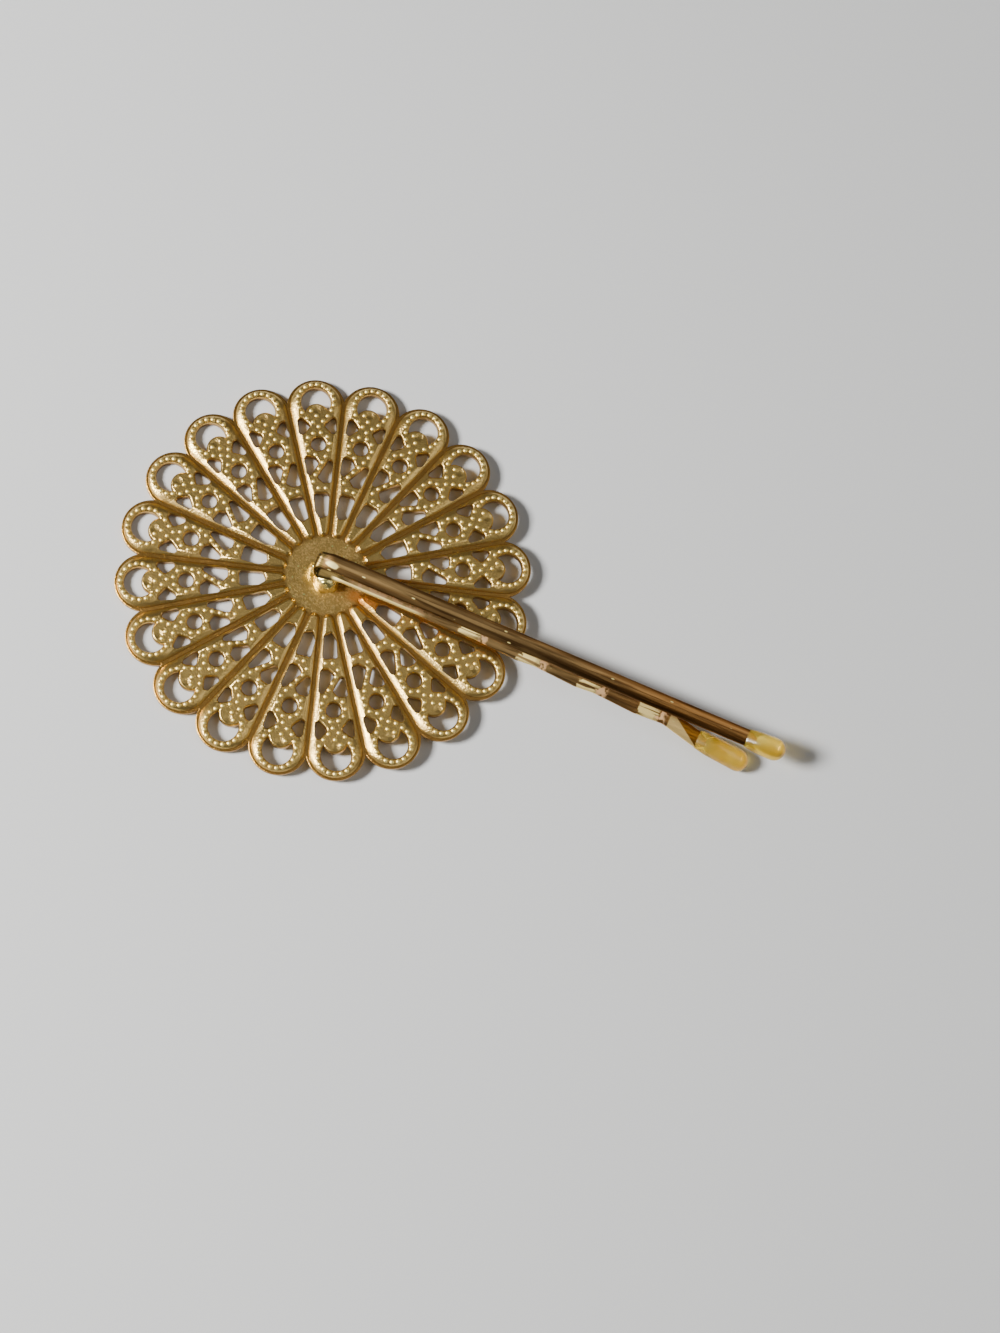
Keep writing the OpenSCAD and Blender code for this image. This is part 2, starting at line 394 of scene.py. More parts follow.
@dataclass
class PiercedPad:
    """The round pad: a base plate with raised petals, all pierced by seven windows each."""

    plan: PetalPlan
    rest: Rest
    outer_x: float = 18.62
    outer_r: float = 1.52
    tongue_x: float = 17.13
    tongue_r: float = 1.3
    middle_x: float = 14.02
    middle_r: float = 0.74
    corner_r: float = 0.3
    # The outer window's two arcs end this many degrees short of where they cross
    cusp: float = 2
    side: Sequence[Point] = ((16.52, 1.68), (15.38, 1.63), (16.0, 1.12))
    left: Sequence[Point] = ((12.38, 1.22), (11.0, 1.08), (12.0, 0.42), (12.33, 0.65))
    right: Sequence[Point] = ((11.95, -1.1), (10.5, -0.08), (10.15, -0.42), (10.12, -0.82))
    hub: Sequence[Point] = (
        (8.4, 0.42), (6.9, 0.42), (6.4, 0.15), (6.55, -0.28), (8.38, -0.5),
    )
    flank: Sequence[FlankRow] = (
        FlankRow(0.17, 0.0, 20.89, 4.05, 0.0), FlankRow(0.2, 0.06, 20.87, 4.1, 0.03),
        FlankRow(0.27, 0.2, 20.82, 4.18, 0.16), FlankRow(0.35, 1.75, 20.72, 4.42, 0.335),
        FlankRow(0.38, 1.85, 20.69, 4.47, 0.35),
    )
    # How far outside a window's clear opening, and how high, the tool that cuts it runs
    cutter: Sequence[Point] = (
        (0.3, 1.0), (0.2, 0.86), (0.1, 0.81), (0.03, 0.69), (0.0, 0.5), (0.0, 0.06),
        (0.08, -0.05),
    )
    # How far in from the outermost edge, and how high, the pad's rim runs
    rim: Sequence[Point] = ((0.08, 0.5), (0.02, 0.48), (0.0, 0.42), (0.0, 0.05), (0.05, 0.0))
    dish_x: float = 17.78
    # Radius of each loop of the dish in the tongue, and how deep it lies
    dish_rows: Sequence[Point] = ((0.46, 0.0), (0.38, 0.02), (0.24, 0.05), (0.1, 0.06))
    # Edges in the arcs of each loop
    round_steps: int = 30
    root_steps: int = 8
    corner_steps: int = 5
    middle_steps: int = 24
    tongue_steps: int = 14
    scallop_steps: int = 32
    core_steps: int = 4
    dish_steps: int = 20
    # Points nearer than this are merged, and edges that turn by more degrees than this are sharp
    merge: float = 0.002
    crease: float = 40
    level_normal: float = 0.9999

    def capsule(self, bm: BMesh, row: FlankRow) -> list[BMEdge]:
        """Draws a long petal outline: two arcs of different size, joined by straight sides.

        Args:
            bm: The mesh that it is drawn in.
            row: The outline's measures.

        Returns:
            The loop's edges.
        """
        half = math.degrees(self.plan.half) - row.lean
        s, z = math.sin(math.radians(half)), self.plan.floor_z + row.up
        big_x, small_x = (row.reach + row.side) / (1 + s), (row.root - row.side) / (1 - s)
        big = Arc(
            bm, (big_x, 0), big_x * s - row.side, -90 - half, 180 + 2 * half, self.round_steps, z
        )
        small = Arc(
            bm, (small_x, 0), small_x * s - row.side, 90 + half, 180 - 2 * half,
            self.root_steps, z,
        )
        return join_round(bm, [big, small])

    def cornered(self, bm: BMesh, corners: Sequence[Point], out: float, z: float) -> list[BMEdge]:
        """Draws the loop of a window with round corners.

        Args:
            bm: The mesh that it is drawn in.
            corners: The middles of its corners' arcs.
            out: How far outside the clear opening it runs.
            z: Its height.

        Returns:
            The loop's edges.
        """
        arcs = []
        middles = [Vector((x, y, 0)) for x, y in corners]
        for i, corner in enumerate(middles):
            before = (corner - middles[i - 1]).normalized()
            after = (middles[(i + 1) % len(middles)] - corner).normalized()
            start = math.degrees(math.atan2(-before.x, before.y))
            turn = math.degrees(math.atan2(before.cross(after).z, before.dot(after)))
            radius = self.corner_r + out
            arcs.append(Arc(bm, corner.xy[:], radius, start, turn, self.corner_steps, z))
        return join_round(bm, arcs)

    def middle_window(self, bm: BMesh, out: float, z: float) -> list[BMEdge]:
        """Draws the loop of the small round window in the petal's middle."""
        return circle(bm, (self.middle_x, 0), self.middle_r + out, self.middle_steps, z)

    def outer_window(self, bm: BMesh, out: float, z: float) -> list[BMEdge]:
        """Draws the loop of the outer window: a circle that a round tongue cuts into.

        Args:
            bm: The mesh that it is drawn in.
            out: How far outside the clear opening it runs.
            z: Its height.

        Returns:
            The loop's edges.
        """
        big, small = self.outer_r + out, self.tongue_r - out
        apart = self.outer_x - self.tongue_x
        from_big = (apart**2 + big**2 - small**2) / (2 * apart)
        a = math.degrees(math.acos(-from_big / big)) - self.cusp
        b = math.degrees(math.acos((apart - from_big) / small)) - self.cusp
        far = Arc(bm, (self.outer_x, 0), big, -a, 2 * a, self.round_steps, z)
        near = Arc(bm, (self.tongue_x, 0), small, b, -2 * b, self.tongue_steps, z)
        return join_round(bm, [far, near])

    def cutters(self) -> BMesh:
        """Builds the tools that cut one petal's windows, each flared where it enters.

        Returns:
            One mesh with a closed tool for each window.
        """
        bm = bmesh.new()
        mirrored = [(x, -y) for x, y in reversed(self.side)]
        rows = [
            [self.cornered(bm, corners, out, z) for out, z in self.cutter]
            for corners in (self.side, mirrored, self.left, self.right, self.hub)
        ]
        rows += [
            [draw(bm, out, z) for out, z in self.cutter]
            for draw in (self.middle_window, self.outer_window)
        ]
        for loops in rows:
            bridge(bm, loops)
        bmesh.ops.holes_fill(bm, edges=[e for e in bm.edges if e.is_boundary], sides=0)
        bmesh.ops.recalc_face_normals(bm, faces=bm.faces[:])
        return bm

    def scallop(self, bm: BMesh, inset: float, z: float) -> Arc:
        """Draws the outer arc of one petal, from groove to groove.

        Args:
            bm: The mesh that it is drawn in.
            inset: How far in from the outermost edge it runs.
            z: Its height.

        Returns:
            The arc.
        """
        radius = self.plan.tip_r - inset
        across = self.plan.ring_r * math.sin(self.plan.half)
        along = math.sqrt(radius**2 - across**2) + self.plan.ring_r * math.cos(self.plan.half)
        x, y = along * math.cos(self.plan.half), along * math.sin(self.plan.half)
        a = math.degrees(math.atan2(y, x - self.plan.ring_r))
        return Arc(bm, (self.plan.ring_r, 0), radius, -a, 2 * a, self.scallop_steps, z)

    def ground(self, bm: BMesh, outer: Arc, holes: Sequence[BMEdge]) -> Arc:
        """Fills one petal's share of a flat face, from the hub's core out to its outer arc.

        Args:
            bm: The mesh that it is drawn in.
            outer: The petal's outer arc.
            holes: Edges of the loops that stay open in it.

        Returns:
            The arc along the core.
        """
        half = self.plan.step / 2
        inner = Arc(bm, (0, 0), self.plan.core_r, half, -2 * half, self.core_steps, outer.z)
        fill_flat(bm, [*join_round(bm, [outer, inner]), *holes])
        return inner

    def dish(self, bm: BMesh) -> list[BMEdge]:
        """Sinks a shallow dish into the tongue.

        Args:
            bm: The mesh that it is drawn in.

        Returns:
            The edges of its border.
        """
        loops = [
            circle(bm, (self.dish_x, 0), radius, self.dish_steps, self.plan.top_z - sink)
            for radius, sink in self.dish_rows
        ]
        bridge(bm, loops)
        bmesh.ops.holes_fill(bm, edges=loops[-1], sides=0)
        return loops[0]

    def blank(self) -> BMesh:
        """Builds one petal with its share of the plate, closed all round and not yet pierced.

        Returns:
            The petal's mesh, in which the faces that close it are marked.
        """
        bm = bmesh.new()
        flank = [self.capsule(bm, row) for row in self.flank]
        bridge(bm, flank)
        fill_flat(bm, [*flank[-1], *self.dish(bm)])
        rim = [self.scallop(bm, inset, z) for inset, z in self.rim]
        bridge(bm, [arc.edges for arc in rim])
        top = self.ground(bm, rim[0], flank[0])
        bottom = self.ground(bm, rim[-1], [])
        inner = bmesh.ops.bridge_loops(bm, edges=top.edges + bottom.edges)["faces"]
        sides = bmesh.ops.holes_fill(bm, edges=[e for e in bm.edges if e.is_boundary], sides=0)
        for face in [*inner, *sides["faces"]]:
            face.material_index = Skin.CLOSURE.value
        bmesh.ops.recalc_face_normals(bm, faces=bm.faces[:])
        return bm

    def petal(self) -> BMesh:
        """Cuts the windows into one petal and opens it where its neighbours join it.

        Returns:
            The petal's mesh.
        """
        solids = []
        for name, bm in (("petal_blank", self.blank()), ("petal_cutters", self.cutters())):
            mesh = bpy.data.meshes.new(name)
            bm.to_mesh(mesh)
            bm.free()
            for _ in Skin:
                mesh.materials.append(None)
            solid = bpy.data.objects.new(name, mesh)
            bpy.context.scene.collection.objects.link(solid)
            solids.append(solid)
        cut = solids[0].modifiers.new("windows", "BOOLEAN")
        cut.operation = "DIFFERENCE"
        cut.solver = "EXACT"
        cut.object = solids[1]
        view = bpy.context.evaluated_depsgraph_get()
        bm = bmesh.new()
        bm.from_mesh(solids[0].evaluated_get(view).to_mesh())
        for solid in solids:
            bpy.data.objects.remove(solid)
        closures = [f for f in bm.faces if f.material_index == Skin.CLOSURE.value]
        bmesh.ops.delete(bm, geom=closures, context="FACES")
        return bm

    def build(self, material: bpy.types.Material) -> bpy.types.Object:
        """Builds the whole pad from turned copies of one petal, and closes its hub.

        Args:
            material: The pad's finish.

        Returns:
            The piece.
        """
        bm = self.petal()
        copy_round(bm, self.plan)
        bmesh.ops.remove_doubles(bm, verts=bm.verts[:], dist=self.merge)
        open_edges = [e for e in bm.edges if e.is_boundary]
        LOG.info("pad: %d open edges at the hub", len(open_edges))
        bmesh.ops.holes_fill(bm, edges=open_edges, sides=0)
        crisp(bm, self.crease)
        for edge in bm.edges:
            level = [abs(face.normal.z) > self.level_normal for face in edge.link_faces]
            if any(level) and not all(level):
                edge.smooth = False
        return finish_mesh(bm, "pad", self.rest, material)


def copy_round(bm: BMesh, plan: PetalPlan) -> None:
    """Turns one petal's geometry to its place, and repeats it round the whole pad.

    Args:
        bm: The mesh, in which the petal lies along +X.
        plan: The pad's layout.
    """
    bmesh.ops.rotate(bm, verts=bm.verts[:], cent=(0, 0, 0), matrix=turn_z(plan.first).to_3x3())
    bmesh.ops.spin(
        bm, geom=bm.verts[:] + bm.edges[:] + bm.faces[:], cent=(0, 0, 0), axis=(0, 0, 1),
        angle=math.tau * (plan.count - 1) / plan.count, steps=plan.count - 1, use_duplicate=True,
    )


@dataclass
class Beading:
    """Strings of small round beads on the raised petals."""

    plan: PetalPlan
    rest: Rest
    radius: float = 0.25
    height: float = 0.15
    sunk: float = 0.02
    cut_below: float = 0.12
    sides: int = 10
    rows: int = 6
    crease: float = 60
    arc_x: float = 18.62
    arc_r: float = 1.87
    arc_start: float = 129.0
    arc_step: float = 19.4
    arc_count: int = 14
    crossing: Sequence[Point] = (
        (16.81, 1.01), (16.99, -1.14), (16.36, 0.41), (16.44, -0.62), (17.61, 0.54),
        (17.04, 0), (15.86, -0.14),
    )
    ring: Sequence[Point] = (
        (15.15, 0.45), (15.2, -0.35), (14.7, 1.0), (14.75, -0.98), (13.97, 1.22),
        (14.0, -1.22), (13.25, 1.0), (13.28, -1.05), (12.84, 0.36), (12.62, -0.7),
    )
    string: Sequence[Point] = (
        (11.97, -0.34), (11.31, 0.06), (10.66, 0.46), (9.95, 0.7), (9.24, 0.22), (9.2, -0.52),
    )

    def spots(self) -> list[Point]:
        """Places one petal's beads.

        Returns:
            Their middles.
        """
        arc = []
        for i in range(self.arc_count):
            a = math.radians(self.arc_start - i * self.arc_step)
            arc.append((self.arc_x + self.arc_r * math.cos(a), self.arc_r * math.sin(a)))
        return [*arc, *self.crossing, *self.ring, *self.string]

    def build(self, material: bpy.types.Material) -> bpy.types.Object:
        """Builds one petal's beads as low domes, and turns copies of them round the pad.

        Args:
            material: The beads' finish.

        Returns:
            The piece.
        """
        bm = bmesh.new()
        for x, y in self.spots():
            place = Matrix.Translation((x, y, self.plan.top_z - self.sunk))
            shape = Matrix.Diagonal((1, 1, self.height / self.radius, 1))
            bmesh.ops.create_uvsphere(
                bm, u_segments=self.sides, v_segments=self.rows, radius=self.radius,
                matrix=place @ shape,
            )
        under = [v for v in bm.verts if v.co.z < self.plan.top_z - self.cut_below]
        bmesh.ops.delete(bm, geom=under, context="VERTS")
        bmesh.ops.holes_fill(bm, edges=[e for e in bm.edges if e.is_boundary], sides=0)
        copy_round(bm, self.plan)
        crisp(bm, self.crease)
        return finish_mesh(bm, "beading", self.rest, material)


# ---- the grip -------------------------------------------------------------------------------


@dataclass(frozen=True)
class Station:
    """One place that a section passes through on its way along a wire, in the side view.

    Args:
        u: How far along the grip it lies.
        v: How far up it lies.
        angle: The wire's direction there, in radians.
        turn: Turn from the view's depth to the way that the section is wide in, in radians.
        thick: The section's thickness.
        wide: Its width.
    """

    u: float
    v: float
    angle: float
    turn: float
    thick: float
    wide: float

    def matrix(self) -> Matrix:
        """Places a unit section, which is thick along Y and wide along Z.

        Returns:
            The matrix that brings it here.
        """
        heading = Vector((math.cos(self.angle), math.sin(self.angle), 0))
        wide = Vector((0, -math.sin(self.turn), math.cos(self.turn)))
        thick = wide.cross(heading).normalized()
        columns = Matrix((heading, thick * self.thick / 2, wide * self.wide / 2))
        return Matrix.Translation((self.u, self.v, 0)) @ columns.transposed().to_4x4()


def sweep(bm: BMesh, stations: Sequence[Station], flatness: float, segments: int) -> None:
    """Extrudes a rounded section from station to station, and closes both ends.

    Args:
        bm: The mesh that it is drawn in.
        stations: The places it passes through.
        flatness: 1 for a round section, and less for one with flatter sides.
        segments: Number of points round the section.
    """
    made = bmesh.ops.create_circle(
        bm, segments=segments, radius=1, matrix=Matrix.Rotation(math.pi / 2, 4, "Y")
    )
    ring = made["verts"]
    for vert in ring:
        y, z = vert.co.y, vert.co.z
        vert.co.y = math.copysign(abs(y) ** flatness, y)
        vert.co.z = math.copysign(abs(z) ** flatness, z)
    here = stations[0].matrix()
    bmesh.ops.transform(bm, matrix=here, verts=ring)
    edges = list({e for v in ring for e in v.link_edges})
    bmesh.ops.edgenet_fill(bm, edges=edges)
    for station in stations[1:]:
        grown = bmesh.ops.extrude_edge_only(bm, edges=edges)["geom"]
        ring = [g for g in grown if isinstance(g, BMVert)]
        own = set(ring)
        edges = [
            g for g in grown
            if isinstance(g, BMEdge) and g.verts[0] in own and g.verts[1] in own
        ]
        there = station.matrix()
        bmesh.ops.transform(bm, matrix=there @ here.inverted(), verts=ring)
        here = there
    bmesh.ops.edgenet_fill(bm, edges=edges)


def rounded_path(
    points: Sequence[Point], radii: Sequence[float], steps: int
) -> list[Triple]:
    """Rounds the corners of a line.

    Args:
        points: The line's points.
        radii: Bending radius at each inner point.
        steps: Number of parts in each bend.

    Returns:
        Points with the line's direction there, in radians.
    """
    spots = [Vector((*p, 0)) for p in points]
    first = spots[1] - spots[0]
    path = [(*spots[0].xy, math.atan2(first.y, first.x))]
    for i in range(1, len(spots) - 1):
        before = (spots[i] - spots[i - 1]).normalized()
        after = (spots[i + 1] - spots[i]).normalized()
        turn = math.atan2(before.cross(after).z, before.dot(after))
        back = abs(radii[i - 1] * math.tan(turn / 2))
        start = spots[i] - back * before
        side = Vector((-before.y, before.x, 0)) * math.copysign(1, turn)
        centre = start + radii[i - 1] * side
        arm = start - centre
        for k in range(steps + 1):
            spin = Matrix.Rotation(turn * k / steps, 4, "Z")
            spot = centre + spin @ arm
            heading = spin @ before
            path.append((spot.x, spot.y, math.atan2(heading.y, heading.x)))
    last = spots[-1] - spots[-2]
    path.append((*spots[-1].xy, math.atan2(last.y, last.x)))
    return path


@dataclass
class SprungGrip:
    """The hair grip: one flat wire with a straight leg, a bend and a crimped, flared leg."""

    plan: GripPlan
    rest: Rest
    thick: float = 0.54
    wide: float = 1.75
    shoulder_l: float = 0.25
    neck_l: float = 0.95
    neck_point_l: float = 0.6
    # Thickness and width of each narrowed end, and of its point, which is 0.4 of the one and
    # half of the other
    neck: Point = (0.4, 1.23)
    neck_point: Point = (0.4 * 0.4, 1.23 * 0.5)
    flatness: float = 0.64
    segments: int = 36
    crease: float = 50
    dip_from: float = 0.3
    dip_r: float = 3.0
    bend_out: float = 0.12
    bend_up: float = 0.02
    bend_r: float = 0.42
    bend_steps: int = 8
    close_u: float = 1.7
    close_r: float = 4.0
    crimp_lead: float = 4.2
    lead_r: float = 8.0
    ramp_l: float = 2.0
    crimp_dip: float = 0.06
    crimp_bend_r: float = 1.2

    def line(self) -> list[Triple]:
        """Lays out the wire's middle line in the side view, between its narrowed ends.

        Returns:
            Points with the line's direction there, in radians.
        """
        p = self.plan
        near = p.thickness / math.cos(p.wide_turn) / 2 - p.bend_reach
        deep = -p.bend_dip - p.bend_gap
        first = p.flare_u - p.rise - (p.crimps - 1) * p.pitch
        points: list[Point] = [
            (p.straight_end, 0.0), (self.dip_from, 0.0),
            (near - self.bend_out, -p.bend_dip + self.bend_up),
            (near + self.bend_out, deep - self.bend_out),
            (self.close_u, -p.leg_gap), (first - self.crimp_lead, -p.leg_gap),
        ]
        for i in range(p.crimps):
            points.append((first + i * p.pitch, -p.trough - i * p.spread - self.crimp_dip))
            points.append((first + i * p.pitch + self.ramp_l, -p.crest - i * p.spread))
        mouth = p.tip_point(0)
        points[-1] = (p.flare_u, points[-1][1])
        points += [(p.knee.x, p.knee.y), (mouth.x, mouth.y)]
        bends = [self.dip_r, self.bend_r, self.bend_r, self.close_r, self.lead_r]
        radii = bends + [self.crimp_bend_r] * (len(points) - 2 - len(bends))
        return rounded_path(points, radii, self.bend_steps)

    def build(self, material: bpy.types.Material) -> bpy.types.Object:
        """Builds the wire with its two narrowed ends, which reach into the tips.

        Args:
            material: The wire's finish.

        Returns:
            The piece.
        """
        p = self.plan
        end, turn, down = p.straight_end, p.wide_turn, -math.radians(p.tip_angle)
        narrowed = (
            (self.shoulder_l, self.neck), (self.neck_l - self.neck_point_l, self.neck),
            (self.neck_l, self.neck_point),
        )
        stations = [
            Station(end + along, 0, math.pi, turn, *size) for along, size in reversed(narrowed)
        ]
        stations += [Station(u, v, a, turn, self.thick, self.wide) for u, v, a in self.line()]
        for along, size in narrowed:
            spot = p.tip_point(along)
            stations.append(Station(spot.x, spot.y, down, turn, *size))
        bm = bmesh.new()
        sweep(bm, stations, self.flatness, self.segments)
        bmesh.ops.transform(bm, matrix=p.over_pad(), verts=bm.verts[:])
        crisp(bm, self.crease)
        return finish_mesh(bm, "grip", self.rest, material)


@dataclass(frozen=True)
class Drop:
    """One rounded lump of the solder.

    Args:
        middle: Its middle.
        size: Its half lengths along the three axes.
        seed: Where its uneven skin is read from.
    """

    middle: Triple
    size: Triple
    seed: float


@dataclass
class SolderPool:
    """The solder that wets the hub and climbs the end of the bend."""

    rest: Rest
    sunk: float = 0.45
    subdivisions: int = 5
    lump_scale: float = 1.7
    lump_place: Point = (3.1, 7.7)
    lump_size: float = 0.12
    foot_spread: float = 0.45
    foot_fall: float = 4.0
    drops: Sequence[Drop] = (
        Drop((0.3, -0.7, 1.25), (1.15, 1.1, 1.25), 0.4),
        Drop((-1.2, -0.05, 1.35), (0.62, 0.8, 1.35), 2.6),
    )

    def build(self, material: bpy.types.Material) -> bpy.types.Object:
        """Builds the solder as uneven drops whose feet spread over the hub.

        Args:
            material: The solder's finish.

        Returns:
            The piece.
        """
        bm = bmesh.new()
        for drop in self.drops:
            made = bmesh.ops.create_icosphere(bm, subdivisions=self.subdivisions, radius=1)["verts"]
            start = Vector((self.lump_place[0], drop.seed, self.lump_place[1]))
            for vert in made:
                lump = noise.noise(vert.co * self.lump_scale + start)
                vert.co *= 1 + self.lump_size * lump
            place = Matrix.Translation(drop.middle) @ Matrix.Diagonal((*drop.size, 1))
            bmesh.ops.transform(bm, matrix=place, verts=made)
            for vert in made:
                height = max(0.0, vert.co.z - self.sunk)
                spread = 1 + self.foot_spread * math.exp(-self.foot_fall * height)
                vert.co.x = drop.middle[0] + (vert.co.x - drop.middle[0]) * spread
                vert.co.y = drop.middle[1] + (vert.co.y - drop.middle[1]) * spread
                vert.co.z = max(vert.co.z, self.sunk)
        for face in bm.faces:
            face.smooth = True
        return finish_mesh(bm, "solder", self.rest, material)


@dataclass
class ResinTip:
    """A drop of resin that a wire end was dipped in."""

    plan: GripPlan
    rest: Rest
    name: str
    mouth: Vector
    angle: float
    length: float
    # How far along a section lies, and its thickness and width as shares of the full ones
    mouth_rows: Sequence[Triple] = (
        (-0.12, 0.25, 0.78), (-0.05, 0.28, 0.8), (0.1, 0.34, 0.83), (0.4, 0.46, 0.87),
        (0.8, 0.62, 0.91), (1.2, 0.78, 0.95), (1.5, 0.87, 0.97), (2.0, 0.95, 0.98),
    )
    dome_from: float = 1.4
    dome_rows: int = 12
    flatness: float = 0.97
    segments: int = 36
    crease: float = 60

    def profile(self) -> list[Triple]:
        """Lists the drop's sections, from its mouth to its round end.

        Returns:
            How far along each section lies, how thick it is and how wide.
        """
        radius = self.plan.tip_r
        full = 2 * radius
        rows = [(along, thick * full, wide * full) for along, thick, wide in self.mouth_rows]
        rows.append((self.length - self.dome_from, full, full))
        for k in range(1, self.dome_rows + 1):
            a = math.pi / 2 * k / (self.dome_rows + 0.5)
            across = full * math.cos(a)
            rows.append((self.length - radius + radius * math.sin(a), across, across))
        return rows

    def build(self, material: bpy.types.Material) -> bpy.types.Object:
        """Builds the drop round its wire end.

        Args:
            material: The resin.

        Returns:
            The piece.
        """
        heading = Vector((math.cos(self.angle), math.sin(self.angle), 0))
        stations = []
        for along, thick, wide in self.profile():
            spot = self.mouth + along * heading
            stations.append(Station(spot.x, spot.y, self.angle, self.plan.wide_turn, thick, wide))
        bm = bmesh.new()
        sweep(bm, stations, self.flatness, self.segments)
        bmesh.ops.transform(bm, matrix=self.plan.over_pad(), verts=bm.verts[:])
        crisp(bm, self.crease)
        return finish_mesh(bm, self.name, self.rest, material)


# ---- finishes -------------------------------------------------------------------------------


class Shader:
    """A material's or a group's node tree, with short calls to fill it."""

    def __init__(self, tree: bpy.types.NodeTree) -> None:
        """Empties the tree."""
        self.tree = tree
        self.tree.nodes.clear()

    def add(self, kind: str, **settings: object) -> bpy.types.Node:
        """Adds a node.

        Args:
            kind: The node's type name, without its "ShaderNode" start.
            settings: Its properties.

        Returns:
            The node.
        """
        node = self.tree.nodes.new(kind if kind.startswith("Node") else "ShaderNode" + kind)
        for key, value in settings.items():
            setattr(node, key, value)
        return node

    def link(self, source: Socket, target: Socket) -> None:
        """Joins two sockets."""
        self.tree.links.new(source, target)

    def split(self, vector: Socket) -> tuple[Socket, Socket, Socket]:
        """Splits a vector.

        Args:
            vector: The vector.

        Returns:
            Its three parts.
        """
        node = self.add("SeparateXYZ")
        self.link(vector, node.inputs[0])
        return node.outputs["X"], node.outputs["Y"], node.outputs["Z"]

    def length(self, vector: Socket) -> Socket:
        """Measures a vector.

        Args:
            vector: The vector.

        Returns:
            Its length.
        """
        node = self.add("VectorMath", operation="LENGTH")
        self.link(vector, node.inputs[0])
        return node.outputs["Value"]

    def mapped(
        self, vector: Socket, scale: Triple, rotation: Triple = (0.0, 0.0, 0.0)
    ) -> Socket:
        """Stretches and turns a vector.

        Args:
            vector: The vector.
            scale: How far it is stretched along each axis.
            rotation: How far it is turned, in radians.

        Returns:
            The new vector.
        """
        node = self.add("Mapping")
        node.inputs["Scale"].default_value = scale
        node.inputs["Rotation"].default_value = rotation
        self.link(vector, node.inputs["Vector"])
        return node.outputs["Vector"]

    def cloudy(self, vector: Socket, scale: float) -> Socket:
        """Adds soft noise.

        Args:
            vector: Where it is read.
            scale: Its scale.

        Returns:
            Values around one half.
        """
        node = self.add("TexNoise")
        node.inputs["Scale"].default_value = scale
        self.link(vector, node.inputs["Vector"])
        return node.outputs["Fac"]

    def scattered(self, vector: Socket, scale: float) -> Socket:
        """Scatters points.

        Args:
            vector: Where they are read.
            scale: How densely they lie.

        Returns:
            The distance to the nearest of them.
        """
        node = self.add("TexVoronoi")
        node.inputs["Scale"].default_value = scale
        self.link(vector, node.inputs["Vector"])
        return node.outputs["Distance"]

    def ramp(self, source: Socket, low: float, high: float) -> Socket:
        """Makes a mask from a value.

        Args:
            source: The value.
            low: The value at which the mask is 0.
            high: The value at which it is 1.

        Returns:
            The mask, which stays at 0 and at 1 beyond these two.
        """
        node = self.add("MapRange", interpolation_type="SMOOTHSTEP")
        node.inputs["From Min"].default_value = low
        node.inputs["From Max"].default_value = high
        self.link(source, node.inputs["Value"])
        return node.outputs["Result"]

    def mix(self, share: Socket, low: Socket | Colour, high: Socket | Colour) -> Socket:
        """Blends two colours.

        Args:
            share: How far the blend goes from the first to the second.
            low: The first colour.
            high: The second.

        Returns:
            The blend.
        """
        node = self.add("Mix", data_type="RGBA")
        self.link(share, node.inputs["Factor"])
        for socket, value in ((node.inputs[MIX_A], low), (node.inputs[MIX_B], high)):
            if isinstance(value, tuple):
                socket.default_value = (*value, 1)
            else:
                self.link(value, socket)
        return node.outputs[MIX_RESULT]

    def tint(self, a: Socket, b: Socket) -> Socket:
        """Multiplies two colours.

        Args:
            a: One colour.
            b: The other.

        Returns:
            Their product.
        """
        node = self.add("Mix", data_type="RGBA", blend_type="MULTIPLY")
        node.inputs["Factor"].default_value = 1.0
        self.link(a, node.inputs[MIX_A])
        self.link(b, node.inputs[MIX_B])
        return node.outputs[MIX_RESULT]

    def math(self, operation: str, a: Socket, b: Socket | float = 0.0) -> Socket:
        """Does a sum on one value or two.

        Args:
            operation: The Math node's name for the sum.
            a: The first value.
            b: The second, which a sum on one value leaves out.

        Returns:
            The result.
        """
        node = self.add("Math", operation=operation)
        self.link(a, node.inputs[0])
        if isinstance(b, float):
            node.inputs[1].default_value = b
        else:
            self.link(b, node.inputs[1])
        return node.outputs[0]

    def away(self, source: Socket, middle: float) -> Socket:
        """Returns how far a value is from a middle one."""
        return self.math("ABSOLUTE", self.math("SUBTRACT", source, middle))

    def all_of(self, *shares: Socket) -> Socket:
        """Returns the product of some masks."""
        return reduce(lambda a, b: self.math("MULTIPLY", a, b), shares)

    def any_of(self, *shares: Socket) -> Socket:
        """Returns the greatest of some masks."""
        return reduce(lambda a, b: self.math("MAXIMUM", a, b), shares)


@dataclass(frozen=True)
class Tarnish:
    """How a metal is tarnished: the values that its tarnish group is given.

    Args:
        clean: Colour of the clean metal.
        dull: Colour where it is tarnished.
        cloud_scale: Scale of the clouds of tarnish.
        cloud_amount: How far the clouds go towards the dull colour.
        speck_scale: Scale of the fine specks.
        speck_amount: How far the specks go towards the dull colour.
        smooth: Roughness of the clean metal.
        rough: Roughness of the tarnish.
        bump: Strength of the pitting, which the shader's Bump node takes.
    """

    clean: Colour
    dull: Colour
    cloud_scale: float
    cloud_amount: float
    speck_scale: float
    speck_amount: float
    smooth: float
    rough: float
    bump: float


